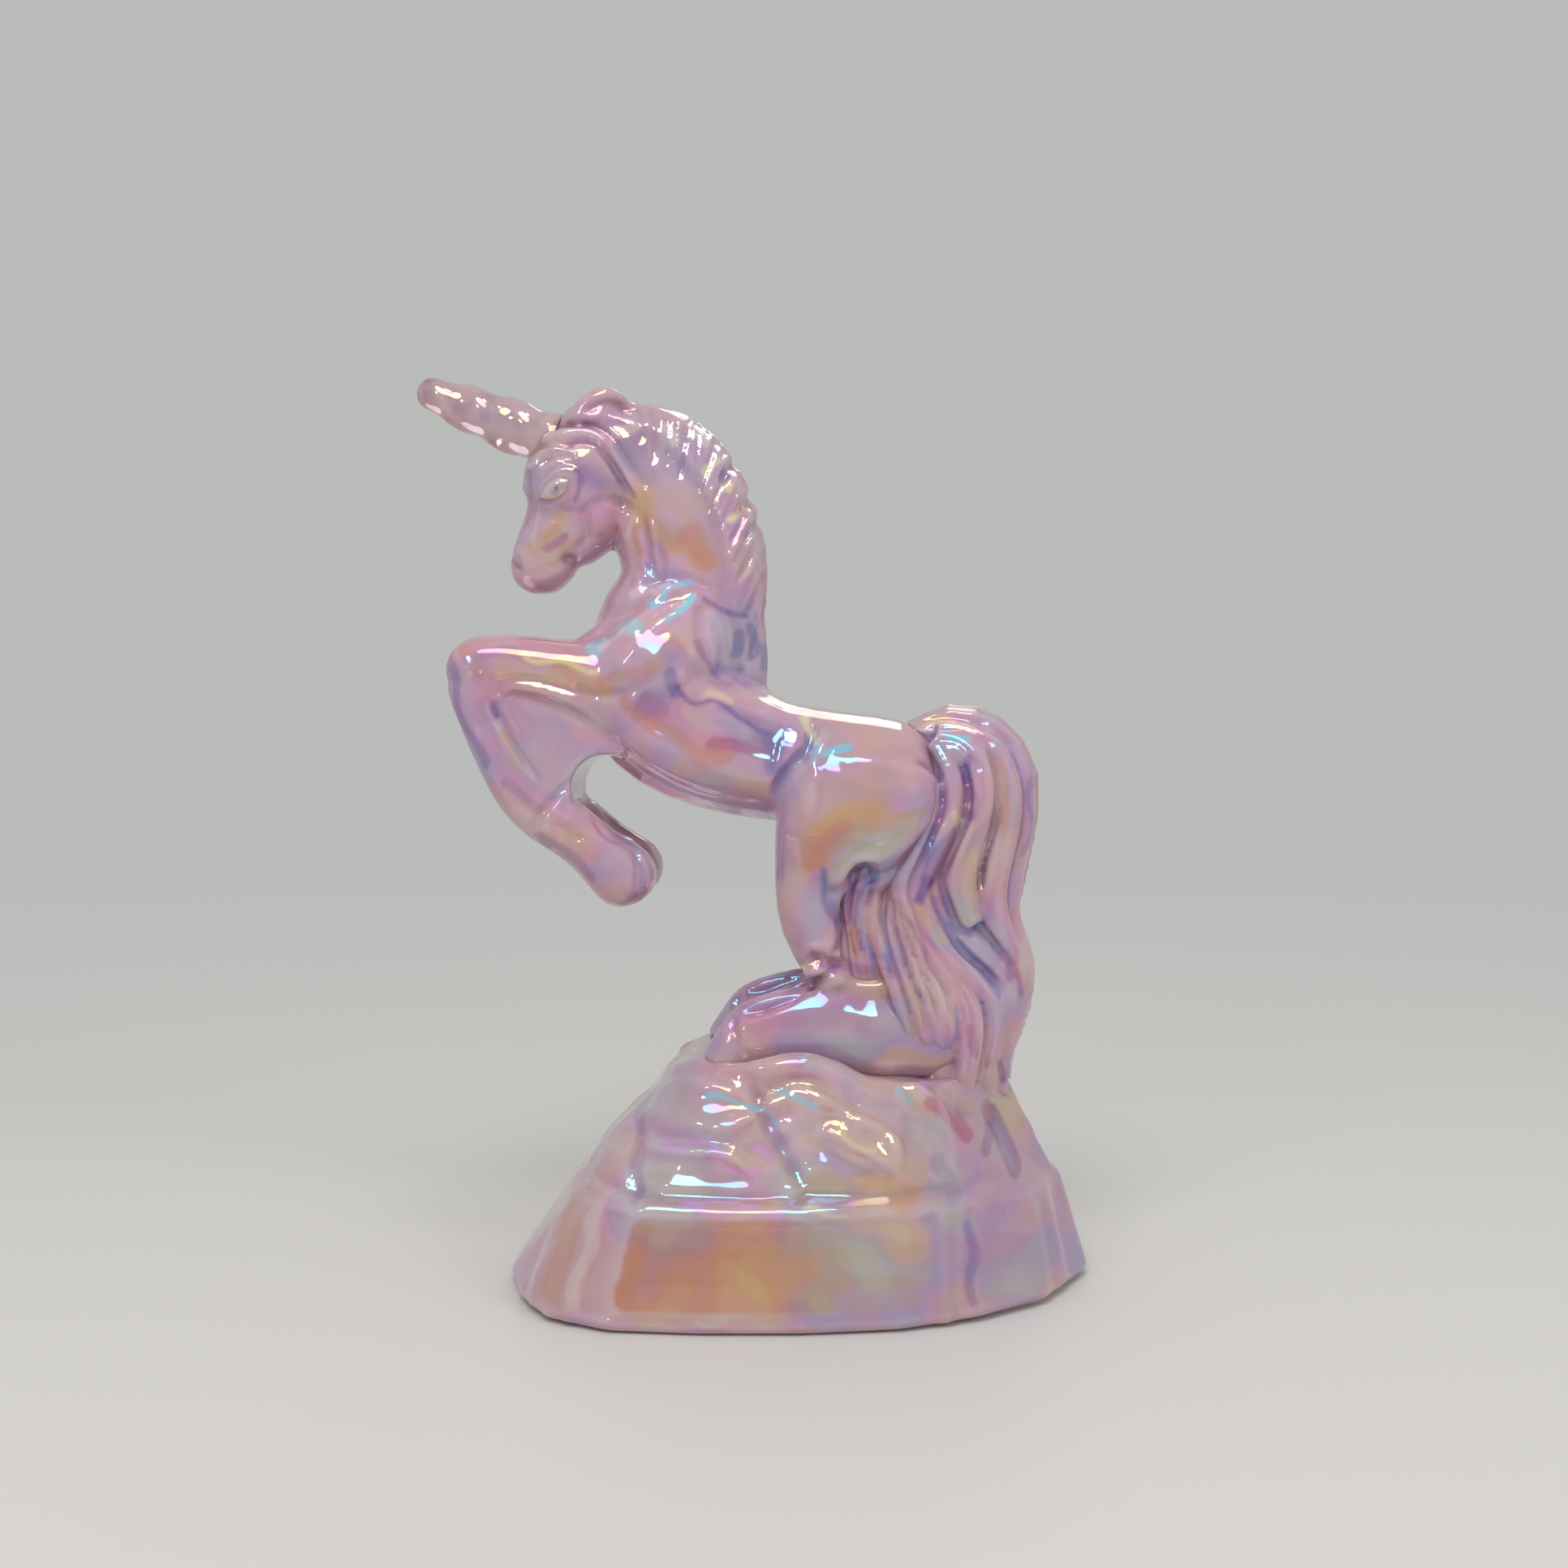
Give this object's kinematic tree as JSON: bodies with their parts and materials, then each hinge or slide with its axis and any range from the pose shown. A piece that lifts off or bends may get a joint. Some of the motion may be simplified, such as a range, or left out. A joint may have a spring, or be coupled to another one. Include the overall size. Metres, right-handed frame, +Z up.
{
  "type": "unicorn figurine",
  "caption": "Rearing unicorn figurine in pink iridescent pressed glass, its folded hind legs bedded in a faceted rock base that stands on a flat underside.",
  "frame": {"origin": "middle of the base's underside, on the table", "axes": "+Z up through the figure; the unicorn faces -X; +Y across the figure, towards its right side"},
  "size_m": [0.094, 0.051, 0.1272],
  "materials": {
    "figure_glass": "iridescent gloss",
    "base_glass": "iridescent gloss",
    "clear_glass": "clear gloss",
    "eye_glass": "iridescent gloss"
  },
  "bodies": {
    "root": {"barrel": "figure_glass", "base_plinth": "base_glass", "chest": "figure_glass", "foreleg_web": "figure_glass", "forelock": "figure_glass", "head": "figure_glass", "hindquarters": "figure_glass", "horn": "clear_glass", "inner_tail_lock": "figure_glass", "left_ear": "figure_glass", "left_eye": "eye_glass", "left_fore_cannon": "figure_glass", "left_fore_hoof": "figure_glass", "left_forearm": "figure_glass", "left_hind_cannon": "figure_glass", "left_hind_hoof": "figure_glass", "left_shoulder": "figure_glass", "left_thigh": "figure_glass", "mane": "figure_glass", "muzzle": "figure_glass", "neck": "figure_glass", "right_ear": "figure_glass", "right_eye": "eye_glass", "right_fore_cannon": "figure_glass", "right_fore_hoof": "figure_glass", "right_forearm": "figure_glass", "right_hind_cannon": "figure_glass", "right_hind_hoof": "figure_glass", "right_shoulder": "figure_glass", "right_thigh": "figure_glass", "rock_mound": "base_glass", "tail": "figure_glass"}
  },
  "joints": []
}
